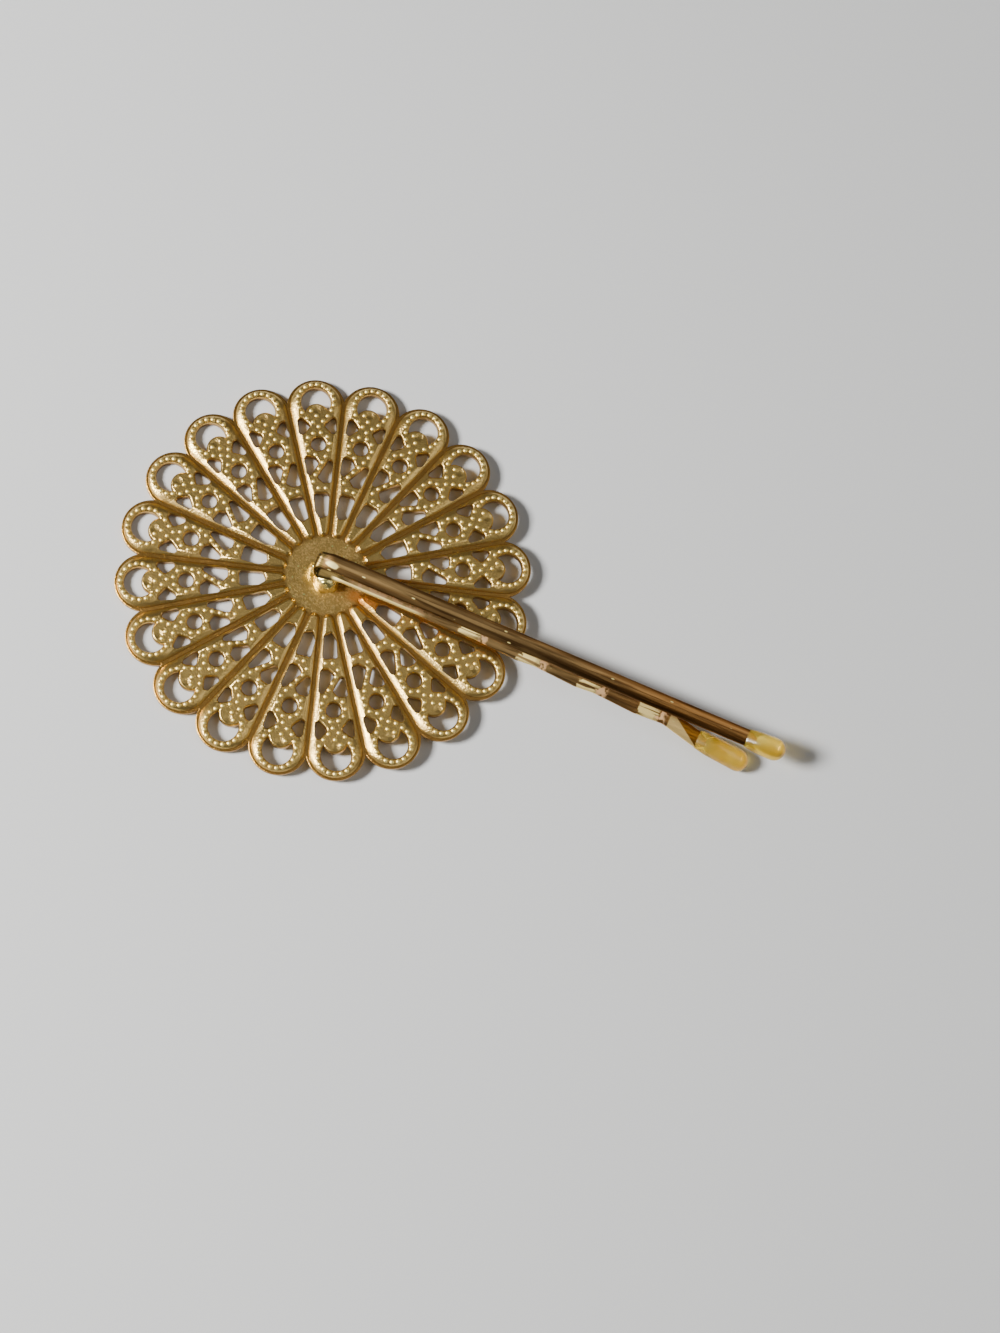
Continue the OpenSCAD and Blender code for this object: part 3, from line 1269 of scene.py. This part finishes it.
class TarnishGroup:
    """Cloudy tarnish with fine specks, as a node group.

    It puts out a colour, a roughness and a height.
    """

    cloud_edge: Range = (0.38, 0.68)
    cloud_detail: float = 4.0
    speck_edge: Range = (0.45, 0.7)
    speck_detail: float = 2.0

    def __init__(self) -> None:
        """Builds the group."""
        self.tree = bpy.data.node_groups.new("tarnish", "ShaderNodeTree")
        for name, kind, value in (
            ("Vector", "Vector", None), ("Clean", "Color", (1, 1, 1, 1)),
            ("Dull", "Color", (0.2, 0.2, 0.2, 1)), ("Cloud Scale", "Float", 0.3),
            ("Cloud Amount", "Float", 0.5), ("Speck Scale", "Float", 6.0),
            ("Speck Amount", "Float", 0.3), ("Smooth", "Float", 0.25), ("Rough", "Float", 0.45),
        ):
            self.socket(name, "INPUT", kind, value)
        for name, kind in (("Color", "Color"), ("Roughness", "Float"), ("Height", "Float")):
            self.socket(name, "OUTPUT", kind)
        sh = Shader(self.tree)
        given = sh.add("NodeGroupInput").outputs
        cloud = self.noise(sh, given["Vector"], given["Cloud Scale"], self.cloud_detail)
        speck = self.noise(sh, given["Vector"], given["Speck Scale"], self.speck_detail)
        dulled = sh.any_of(
            sh.all_of(sh.ramp(cloud, *self.cloud_edge), given["Cloud Amount"]),
            sh.all_of(sh.ramp(speck, *self.speck_edge), given["Speck Amount"]),
        )
        put_out = sh.add("NodeGroupOutput").inputs
        sh.link(sh.mix(dulled, given["Clean"], given["Dull"]), put_out["Color"])
        spread = sh.add("MapRange")
        sh.link(dulled, spread.inputs["Value"])
        sh.link(given["Smooth"], spread.inputs["To Min"])
        sh.link(given["Rough"], spread.inputs["To Max"])
        sh.link(spread.outputs["Result"], put_out["Roughness"])
        sh.link(speck, put_out["Height"])

    def socket(self, name: str, way: str, kind: str, value: object = None) -> None:
        """Makes one socket of the group.

        Args:
            name: The socket's name.
            way: "INPUT" or "OUTPUT".
            kind: "Float", "Color" or "Vector".
            value: Its value where nothing is joined to it.
        """
        made = self.tree.interface.new_socket(name, in_out=way, socket_type="NodeSocket" + kind)
        if value is not None:
            made.default_value = value

    def noise(self, sh: Shader, vector: Socket, scale: Socket, detail: float) -> Socket:
        """Adds noise whose scale is a socket too.

        Args:
            sh: The group's tree.
            vector: Where it is read.
            scale: Its scale.
            detail: How much fine detail it has.

        Returns:
            Values around one half.
        """
        node = sh.add("TexNoise")
        node.inputs["Detail"].default_value = detail
        sh.link(vector, node.inputs["Vector"])
        sh.link(scale, node.inputs["Scale"])
        return node.outputs["Fac"]


@dataclass(frozen=True)
class Finish:
    """A finish on one Principled shader, which reads a frame in millimetres.

    Args:
        rest: How the thing lies.
    """

    rest: Rest

    def start(self, name: str) -> tuple[bpy.types.Material, Shader, bpy.types.Node]:
        """Starts a material with one Principled shader.

        Args:
            name: The material's name.

        Returns:
            The material, its tree and the shader's node.
        """
        material = bpy.data.materials.new(name)
        material.use_nodes = True
        sh = Shader(material.node_tree)
        surface = sh.add("BsdfPrincipled")
        sh.link(surface.outputs["BSDF"], sh.add("OutputMaterial").inputs["Surface"])
        return material, sh, surface

    def own_frame(self, sh: Shader, matrix: Matrix) -> Socket:
        """Brings Object coordinates back to a frame in millimetres.

        Args:
            sh: The material's tree.
            matrix: From that frame to the record's, without the scale to metres.

        Returns:
            The coordinates in that frame.
        """
        back = matrix.inverted()
        node = sh.add("Mapping")
        node.inputs["Location"].default_value = back.to_translation()
        node.inputs["Rotation"].default_value = back.to_euler()
        node.inputs["Scale"].default_value = (1 / METRES,) * 3
        sh.link(sh.add("TexCoord").outputs["Object"], node.inputs["Vector"])
        return node.outputs["Vector"]


@dataclass(frozen=True)
class MetalFinish(Finish):
    """A metal with tarnish on it.

    Args:
        group: The tarnish group that the metals share.
    """

    group: TarnishGroup

    def tarnished(
        self, sh: Shader, surface: bpy.types.Node, vector: Socket, tarnish: Tarnish
    ) -> dict[str, Socket]:
        """Adds the tarnish group with its values, and feeds the shader's roughness and bump.

        Args:
            sh: The material's tree.
            surface: The shader's node.
            vector: Where the tarnish is read.
            tarnish: Its values.

        Returns:
            The group's outputs by name.
        """
        node = sh.add("Group")
        node.node_tree = self.group.tree
        sh.link(vector, node.inputs["Vector"])
        values = asdict(tarnish)
        bump = values.pop("bump")
        for key, value in values.items():
            socket = node.inputs[key.replace("_", " ").title()]
            socket.default_value = (*value, 1) if isinstance(value, tuple) else value
        raised = sh.add("Bump")
        raised.inputs["Strength"].default_value = bump
        raised.inputs["Distance"].default_value = PIT_DEPTH
        sh.link(node.outputs["Height"], raised.inputs["Height"])
        sh.link(raised.outputs["Normal"], surface.inputs["Normal"])
        sh.link(node.outputs["Roughness"], surface.inputs["Roughness"])
        surface.inputs["Metallic"].default_value = 1.0
        return dict(node.outputs.items())


@dataclass(frozen=True)
class PlainMetal(MetalFinish):
    """A metal that is the same all over, apart from its tarnish.

    Args:
        name: The finish's name.
        tarnish: Its colours and its tarnish.
    """

    name: str
    tarnish: Tarnish

    def make(self) -> bpy.types.Material:
        """Makes the finish.

        Returns:
            The material.
        """
        material, sh, surface = self.start(self.name)
        vector = self.own_frame(sh, self.rest.turn())
        shown = self.tarnished(sh, surface, vector, self.tarnish)
        sh.link(shown["Color"], surface.inputs["Base Color"])
        return material


# Gold of the beads, lighter than the pad's: a painted highlight that makes each dome look lit all
# over.
BEAD_HIGHLIGHT_GOLD = Tarnish(
    clean=(1.0, 0.80, 0.30), dull=(0.95, 0.68, 0.22), cloud_scale=0.5, cloud_amount=0.5,
    speck_scale=4.0, speck_amount=0.3, smooth=0.44, rough=0.5, bump=0.1,
)
BRIGHT_SOLDER = Tarnish(
    clean=(0.98, 0.86, 0.34), dull=(0.85, 0.60, 0.16), cloud_scale=0.8, cloud_amount=0.7,
    speck_scale=5.0, speck_amount=0.4, smooth=0.24, rough=0.4, bump=0.25,
)


@dataclass(frozen=True)
class AntiqueGold(MetalFinish):
    """The pad's antique gold: bright on top, brown in the grooves, copper under the grip.

    A pair of numbers gives the values at which a mask is 0 and at which it is 1.
    """

    tarnish: Tarnish = Tarnish(
        clean=(0.74, 0.51, 0.16), dull=(0.46, 0.28, 0.09), cloud_scale=0.35, cloud_amount=0.5,
        speck_scale=6.0, speck_amount=0.6, smooth=0.28, rough=0.42, bump=0.45,
    )
    relief_z: Range = (0.5, 0.62)
    front_z: Range = (0.1, 0.02)
    back_z: Range = (0.2, 0.4)
    groove_tint: Colour = (0.62, 0.5, 0.4)
    hub_r: Range = (4.4, 3.8)
    hub_tint: Colour = (1.0, 0.93, 0.82)
    grain_scale: float = 5.0
    grain_edge: Range = (0.46, 0.6)
    grain_tint: Colour = (1.4, 1.4, 1.5)
    # Bright specks on the hub, lighter than the metal can be: painted glints.
    pit_scale: float = 1.3
    pit_edge: Range = (0.15, 0.08)
    pit_tint: Colour = (2.2, 2.2, 2.4)
    copper_middle: Point = (8.2, -0.9)
    copper_along: Range = (5.8, 4.8)
    copper_beside: Range = (0.8, 0.3)
    copper_scale: float = 0.55
    copper_edge: Range = (0.42, 0.52)
    copper_tint: Colour = (1.2, 0.85, 0.6)

    def make(self) -> bpy.types.Material:
        """Makes the finish.

        Returns:
            The material.
        """
        material, sh, surface = self.start("antique_gold")
        vector = self.own_frame(sh, self.rest.turn())
        shown = self.tarnished(sh, surface, vector, self.tarnish)
        x, y, z = sh.split(vector)
        back = sh.ramp(z, *self.back_z)
        hub = sh.all_of(sh.ramp(sh.length(vector), *self.hub_r), back)
        bright = sh.any_of(sh.ramp(z, *self.relief_z), sh.ramp(z, *self.front_z), hub)
        deep = sh.mix(bright, self.groove_tint, WHITE)
        grain = sh.ramp(sh.cloudy(vector, self.grain_scale), *self.grain_edge)
        # Painted glints: scattered bright specks on the hub.
        glints = sh.ramp(sh.scattered(vector, self.pit_scale), *self.pit_edge)
        tone = sh.mix(hub, WHITE, self.hub_tint)
        tone = sh.mix(sh.all_of(hub, grain), tone, self.grain_tint)
        tone = sh.mix(sh.all_of(hub, glints), tone, self.pit_tint)
        copper = sh.all_of(
            sh.ramp(sh.away(y, self.copper_middle[1]), *self.copper_beside),
            sh.ramp(sh.away(x, self.copper_middle[0]), *self.copper_along),
            back,
            sh.ramp(sh.cloudy(vector, self.copper_scale), *self.copper_edge),
        )
        tone = sh.mix(copper, tone, self.copper_tint)
        sh.link(sh.tint(sh.tint(shown["Color"], deep), tone), surface.inputs["Base Color"])
        return material


@dataclass(frozen=True)
class WireSkin:
    """The measures and masks of the wire's finish that more than one of its marks reads.

    Args:
        along: Distance along the wire.
        through: Distance through its thickness.
        across: Distance across its width.
        ragged: Soft noise that makes the marks' borders ragged.
        shift: How far the noise shifts a border along the wire.
        outer: Mask of the straight leg's side that is seen from above.
        lower: Mask of the crimped leg.
    """

    along: Socket
    through: Socket
    across: Socket
    ragged: Socket
    shift: Socket
    outer: Socket
    lower: Socket


@dataclass(frozen=True)
class BrownedWire(MetalFinish):
    """The wire's tarnished brown gold, with long drawing streaks, painted highlights and painted
    shade.

    It reads the wire's own frame: X along it, Y through its thickness and Z across it. A pair
    of numbers gives the values at which a mask is 0 and at which it is 1.
    """

    grip: GripPlan
    tarnish: Tarnish = Tarnish(
        clean=(0.68, 0.43, 0.17), dull=(0.16, 0.085, 0.03), cloud_scale=1.3, cloud_amount=0.9,
        speck_scale=3.4, speck_amount=0.8, smooth=0.36, rough=0.32, bump=0.55,
    )
    drawing: Triple = (0.05, 0.4, 1.0)
    ragged_scale: float = 1.6
    ragged_shift: float = 1.4
    outer_side: Range = (-0.3, -0.24)
    lower_leg: Range = (-0.26, -0.32)
    shade_across: Range = (0.0, 0.3)
    shade_tint: Colour = (0.5, 0.45, 0.4)
    # Painted shade along the straight leg's rim, where the rounded wire turns from the light.
    rim_across: Range = (-0.4, -0.7)
    rim_tint: Colour = (0.5, 0.42, 0.34)
    tip_along: Range = (22.0, 38.0)
    tip_tint: Colour = (0.7, 0.55, 0.42)
    crimp_lead: float = 0.25
    crimp_from: Range = (0.0, 0.03)
    crimp_to: Range = (0.34, 0.3)
    counted_from: Range = (-0.02, 0.0)
    counted_to: Range = (3.8, 3.7)
    line_scale: float = 3.2
    line_edge: Range = (0.43, 0.53)
    edge_across: Range = (1.2, 1.28)
    edge_from: Range = (0.6, 1.4)
    edge_to: Range = (11.5, 9.5)
    # Painted highlight on the crimps and along the crimped leg's edge by the bend.
    rubbed: Colour = (1.0, 0.78, 0.30)
    beside_from: Range = (0.3, 0.34)
    beside_to: Range = (0.5, 0.44)
    coppery_edge: Range = (0.4, 0.5)
    coppery: Colour = (1.0, 0.62, 0.30)
    # Painted glints: ragged pinkish specks on the crimped leg near the bend.
    sparkle_along: Range = (12.5, 9.0)
    sparkle_edge: Range = (0.42, 0.55)
    sparkle: Colour = (0.86, 0.50, 0.24)
    # Painted shade on the flared leg's face, which lies in shade under the straight leg.
    flare_along: Range = (38.7, 39.2)
    amber: Colour = (0.36, 0.15, 0.02)
    # Painted highlight on the flare's lit facet, and where it lies.
    facet_from: Range = (0.4, 0.55)
    facet_slope: float = 0.68
    facet_edge: Range = (-25.4, -25.3)
    beige: Colour = (1.0, 0.72, 0.28)
    # Painted shade at the bend's end and the crimped leg's start, between the legs and the solder.
    bend_along: Range = (-0.2, -0.7)
    bend_under: Range = (3.8, 2.0)
    browned: Colour = (0.12, 0.08, 0.025)
    nick_stretch: Triple = (0.5, 1.0, 1.6)
    nick_turn: Triple = (0.0, 0.5, 0.0)
    nick_scale: float = 0.8
    nick_edge: Range = (0.1, 0.06)
    # Painted highlight: a bright spot on the bend, and its measures.
    worn_middle: Point = (0.45, 0.25)
    worn_size: Point = (0.7, 0.3)
    worn_ragged: float = 0.9
    worn_edge: Range = (1.3, 0.5)
    bare: Colour = (1.0, 0.84, 0.34)
    bare_rough: float = 0.52

    def skin(self, sh: Shader, vector: Socket) -> WireSkin:
        """Takes the measures and masks that the marks share.

        Args:
            sh: The material's tree.
            vector: Coordinates in the wire's own frame.

        Returns:
            The measures and masks.
        """
        along, through, across = sh.split(vector)
        ragged = sh.cloudy(vector, self.ragged_scale)
        shift = sh.math("MULTIPLY", sh.math("SUBTRACT", ragged, 0.5), self.ragged_shift)
        outer = sh.ramp(through, *self.outer_side)
        lower = sh.ramp(through, *self.lower_leg)
        return WireSkin(along, through, across, ragged, shift, outer, lower)

    def body(self, sh: Shader, skin: WireSkin) -> Socket:
        """Tints the straight leg: painted shade on one side and along its rim, and a darker end.

        Args:
            sh: The material's tree.
            skin: The measures and masks that the marks share.

        Returns:
            The tint.
        """
        shaded = sh.all_of(sh.ramp(skin.across, *self.shade_across), skin.outer)
        # Painted shade: one side and the rim of the leg are darkened as the rounded wire turns from
        # the light.
        rim = sh.all_of(sh.ramp(skin.across, *self.rim_across), skin.outer)
        sides = sh.mix(rim, sh.mix(shaded, WHITE, self.shade_tint), self.rim_tint)
        return sh.tint(sides, sh.mix(sh.ramp(skin.along, *self.tip_along), WHITE, self.tip_tint))

    def crimps(self, sh: Shader, skin: WireSkin, drawn: Socket) -> tuple[Socket, Socket]:
        """Marks the painted highlights on the crimps and by the bend, and the coppery patches.

        Args:
            sh: The material's tree.
            skin: The measures and masks that the marks share.
            drawn: The same coordinates, stretched along the wire.

        Returns:
            The mask of the painted highlights, bright lines on the crimps and on the edge by the
            bend, and the mask of the coppery patches beside the crimps.
        """
        grip = self.grip
        first = grip.flare_u - grip.rise - (grip.crimps - 1) * grip.pitch
        shifted = sh.math("ADD", skin.along, skin.shift)
        turns = sh.math(
            "DIVIDE", sh.math("SUBTRACT", shifted, first + self.crimp_lead), grip.pitch
        )
        place = sh.math("FRACT", turns)
        counted = sh.all_of(
            sh.ramp(turns, *self.counted_from), sh.ramp(turns, *self.counted_to)
        )
        # Painted highlights: bright lengthwise lines on the crimps' rising ramps, where the light
        # strikes them.
        crimped = sh.all_of(
            sh.ramp(place, *self.crimp_from), sh.ramp(place, *self.crimp_to), counted,
            sh.ramp(sh.cloudy(drawn, self.line_scale), *self.line_edge),
        )
        # Painted highlight along the crimped leg's lower edge near the bend.
        edge = sh.all_of(
            sh.ramp(skin.across, *self.edge_across), sh.ramp(skin.along, *self.edge_to),
            sh.ramp(skin.along, *self.edge_from),
        )
        coppery = sh.all_of(
            sh.ramp(place, *self.beside_from), sh.ramp(place, *self.beside_to), skin.lower,
            counted, sh.ramp(skin.ragged, *self.coppery_edge),
        )
        return sh.all_of(sh.any_of(crimped, edge), skin.lower), coppery

    def facet(self, sh: Shader, skin: WireSkin) -> Socket:
        """Marks the painted highlight on the lit facet, which runs slantwise over the flare.

        Args:
            sh: The material's tree.
            skin: The measures and masks that the marks share.

        Returns:
            Its mask.
        """
        slant = sh.math(
            "SUBTRACT", skin.across, sh.math("MULTIPLY", skin.along, self.facet_slope)
        )
        start = [self.grip.flare_u + u for u in self.facet_from]
        return sh.all_of(
            skin.lower, sh.ramp(skin.along, *start), sh.ramp(slant, *self.facet_edge)
        )

    def worn(self, sh: Shader, skin: WireSkin, vector: Socket) -> Socket:
        """Marks the nicks, which show clean metal, and a painted highlight as a bright spot on the
        bend.

        Args:
            sh: The material's tree.
            skin: The measures and masks that the marks share.
            vector: Coordinates in the wire's own frame.

        Returns:
            Its mask.
        """
        nicks = sh.scattered(
            sh.mapped(vector, self.nick_stretch, self.nick_turn), self.nick_scale
        )
        # The spot on the bend is a painted highlight. The nicks are real wear.
        reach = sh.math("MULTIPLY", skin.shift, self.worn_ragged)
        for source, middle, size in zip(
            (skin.along, skin.across), self.worn_middle, self.worn_size
        ):
            part = sh.math("DIVIDE", sh.math("SUBTRACT", source, middle), size)
            reach = sh.math("ADD", reach, sh.math("POWER", part, 2.0))
        spot = sh.all_of(sh.ramp(reach, *self.worn_edge), skin.outer)
        return sh.any_of(sh.ramp(nicks, *self.nick_edge), spot)

    def make(self) -> bpy.types.Material:
        """Makes the finish.

        Returns:
            The material.
        """
        material, sh, surface = self.start("browned_wire")
        section = Matrix.Rotation(self.grip.wide_turn, 4, "X")
        vector = self.own_frame(sh, self.rest.turn() @ self.grip.over_pad() @ section)
        drawn = sh.mapped(vector, self.drawing)
        shown = self.tarnished(sh, surface, drawn, self.tarnish)
        skin = self.skin(sh, vector)
        # bright holds the painted highlights on the crimps and the edge.
        bright, coppery = self.crimps(sh, skin, drawn)
        # Painted glints on the crimped leg near the bend.
        painted_sparkle = sh.all_of(
            skin.lower, sh.ramp(skin.along, *self.sparkle_along),
            sh.ramp(skin.ragged, *self.sparkle_edge),
        )
        # Painted shade on the flared leg's face.
        flared = sh.all_of(sh.ramp(skin.along, *self.flare_along), skin.lower)
        # Painted highlight on the flare's lit facet.
        beige = self.facet(sh, skin)
        # Painted shade: the bend's end and the crimped leg's start are darkened, which also dims
        # their highlights.
        browned = sh.any_of(
            sh.ramp(skin.along, *self.bend_along),
            sh.all_of(skin.lower, sh.ramp(skin.along, *self.bend_under)),
        )
        bare = self.worn(sh, skin, vector)
        colour = sh.tint(shown["Color"], self.body(sh, skin))
        for mask, mark in (
            (coppery, self.coppery), (painted_sparkle, self.sparkle), (flared, self.amber),
            (beige, self.beige), (browned, self.browned), (bright, self.rubbed),
            (bare, self.bare),
        ):
            colour = sh.mix(mask, colour, mark)
        sh.link(colour, surface.inputs["Base Color"])
        rough = sh.add("MapRange")
        sh.link(sh.any_of(bright, coppery, beige, bare), rough.inputs["Value"])
        sh.link(shown["Roughness"], rough.inputs["To Min"])
        rough.inputs["To Max"].default_value = self.bare_rough
        sh.link(rough.outputs["Result"], surface.inputs["Roughness"])
        return material


@dataclass(frozen=True)
class HoneyResin(Finish):
    """The tips' honey-yellow resin, which light goes through."""

    deep: Colour = (0.90, 0.58, 0.04)
    pale: Colour = (0.96, 0.72, 0.12)
    cloud_scale: float = 0.5
    cloud_edge: Range = (0.35, 0.65)
    clearness: float = 0.84
    roughness: float = 0.14
    ior: float = 1.5

    def make(self) -> bpy.types.Material:
        """Makes the finish.

        Returns:
            The material.
        """
        material, sh, surface = self.start("honey_resin")
        vector = self.own_frame(sh, self.rest.turn())
        cloud = sh.ramp(sh.cloudy(vector, self.cloud_scale), *self.cloud_edge)
        sh.link(sh.mix(cloud, self.deep, self.pale), surface.inputs["Base Color"])
        surface.inputs["Transmission Weight"].default_value = self.clearness
        surface.inputs["Roughness"].default_value = self.roughness
        surface.inputs["IOR"].default_value = self.ior
        return material


@dataclass(frozen=True)
class PaleFloor(Finish):
    """The plain pale floor."""

    colour: Colour = (0.62, 0.62, 0.61)
    roughness: float = 0.9

    def make(self) -> bpy.types.Material:
        """Makes the finish.

        Returns:
            The material.
        """
        material, _, surface = self.start("pale_floor")
        surface.inputs["Base Color"].default_value = (*self.colour, 1)
        surface.inputs["Roughness"].default_value = self.roughness
        return material


# ---- the studio -----------------------------------------------------------------------------


@dataclass(frozen=True)
class Lamp:
    """A soft square light.

    Args:
        name: Its name.
        away: How far to the right, up and back it hangs, seen from the camera, in metres.
        size: Its side in metres.
        power: Its power in watts.
    """

    name: str
    away: Triple
    size: float
    power: float


@dataclass
class Studio:
    """Floor, lights and camera. The camera is given in the pad's frame as the photo shows it."""

    rest: Rest
    eye: Triple = (-10.973, -53.206, 188.336)
    right: Triple = (0.98869695, -0.07435748, 0.13018953)
    up: Triple = (0.04315038, 0.97273307, 0.22787806)
    pad_turn: float = 25.5
    pad_lift: float = 0.85
    lens: float = 52.02
    film: float = 36.0
    nearest: float = 0.01
    floor_size: float = 1.5
    aim: Triple = (0.005, 0.0, 0.0)
    lamps: Sequence[Lamp] = (
        Lamp("key", (-0.284, 0.057, 0.347), 0.1, 5.0), Lamp("fill", (0.3, 0.05, 0.3), 0.3, 0.35),
    )
    sky: Colour = (0.95, 0.97, 1.0)
    sky_strength: float = 0.09

    def axes(self) -> tuple[Vector, Vector, Vector, Vector]:
        """Brings the camera's place and directions to the record's frame.

        Returns:
            The eye's place in metres, and the camera's right, up and back directions.
        """
        turn = self.rest.turn() @ turn_z(self.pad_turn)
        lift = self.rest.turn() @ Vector((0, 0, self.pad_lift))
        right = (turn @ Vector(self.right)).normalized()
        up = (turn @ Vector(self.up)).normalized()
        return (turn @ Vector(self.eye) + lift) * METRES, right, up, right.cross(up)

    def camera(self) -> None:
        """Sets up the camera."""
        eye, right, up, back = self.axes()
        data = bpy.data.cameras.new("camera")
        data.sensor_fit = "VERTICAL"
        data.sensor_height = self.film
        data.lens = self.lens
        data.clip_start = self.nearest
        camera = bpy.data.objects.new("camera", data)
        turn = Matrix((right, up, back)).transposed().to_4x4()
        camera.matrix_world = Matrix.Translation(eye) @ turn
        bpy.context.scene.collection.objects.link(camera)
        bpy.context.scene.camera = camera

    def floor(self, material: bpy.types.Material) -> None:
        """Lays the floor under the lowest point.

        Args:
            material: The floor's finish.
        """
        low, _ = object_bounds()
        bm = bmesh.new()
        place = Matrix.Translation((0, 0, low[2]))
        bmesh.ops.create_grid(
            bm, x_segments=1, y_segments=1, size=self.floor_size, matrix=place
        )
        mesh = bpy.data.meshes.new("floor")
        bm.to_mesh(mesh)
        bm.free()
        mesh.materials.append(material)
        floor = bpy.data.objects.new("floor", mesh)
        bpy.context.scene.collection.objects.link(floor)
        floor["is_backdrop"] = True

    def light(self, lamp: Lamp) -> None:
        """Hangs a light, turned towards the thing.

        Args:
            lamp: The light's measures.
        """
        _, right, up, back = self.axes()
        aim = Vector(self.aim)
        data = bpy.data.lights.new(lamp.name, "AREA")
        data.size = lamp.size
        data.energy = lamp.power
        hung = bpy.data.objects.new(lamp.name, data)
        spot = aim + lamp.away[0] * right + lamp.away[1] * up + lamp.away[2] * back
        turn = (spot - aim).to_track_quat("Z", "Y").to_matrix().to_4x4()
        hung.matrix_world = Matrix.Translation(spot) @ turn
        bpy.context.scene.collection.objects.link(hung)

    def world(self) -> None:
        """Sets the soft surrounding light."""
        world = bpy.data.worlds.new("studio")
        world.use_nodes = True
        ground = world.node_tree.nodes["Background"]
        ground.inputs["Color"].default_value = (*self.sky, 1)
        ground.inputs["Strength"].default_value = self.sky_strength
        bpy.context.scene.world = world

    def build(self, material: bpy.types.Material) -> None:
        """Builds the studio.

        Args:
            material: The floor's finish.
        """
        self.camera()
        self.floor(material)
        for lamp in self.lamps:
            self.light(lamp)
        self.world()


def main() -> None:
    """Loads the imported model, builds its dress over it and sets up the studio."""
    logging.basicConfig(level=logging.INFO, format="%(name)s: %(message)s")
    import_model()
    petals, grip = PetalPlan(), GripPlan()
    rest = Rest(petals, grip)
    group = TarnishGroup()

    pad = PiercedPad(petals, rest).build(AntiqueGold(rest, group).make())
    # The beads' lighter gold is a painted highlight.
    bead_highlight_gold = PlainMetal(rest, group, "bead_highlight_gold", BEAD_HIGHLIGHT_GOLD).make()
    beading = Beading(petals, rest).build(bead_highlight_gold)
    wire = SprungGrip(grip, rest).build(BrownedWire(rest, group, grip).make())
    bright_solder = PlainMetal(rest, group, "bright_solder", BRIGHT_SOLDER).make()
    solder = SolderPool(rest).build(bright_solder)
    for piece in (pad, beading, wire, solder):
        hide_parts("pad_and_grip")

    resin = HoneyResin(rest).make()
    straight = ResinTip(
        grip, rest, "straight_drop", Vector((grip.straight_end, 0, 0)), 0.0, grip.straight_tip
    ).build(resin)
    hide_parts("straight_tip")
    crimped = ResinTip(
        grip, rest, "crimped_drop", grip.tip_point(0), -math.radians(grip.tip_angle),
        grip.crimped_tip,
    ).build(resin)
    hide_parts("crimped_tip")

    Studio(rest).build(PaleFloor(rest).make())


if __name__ == "__main__":
    main()
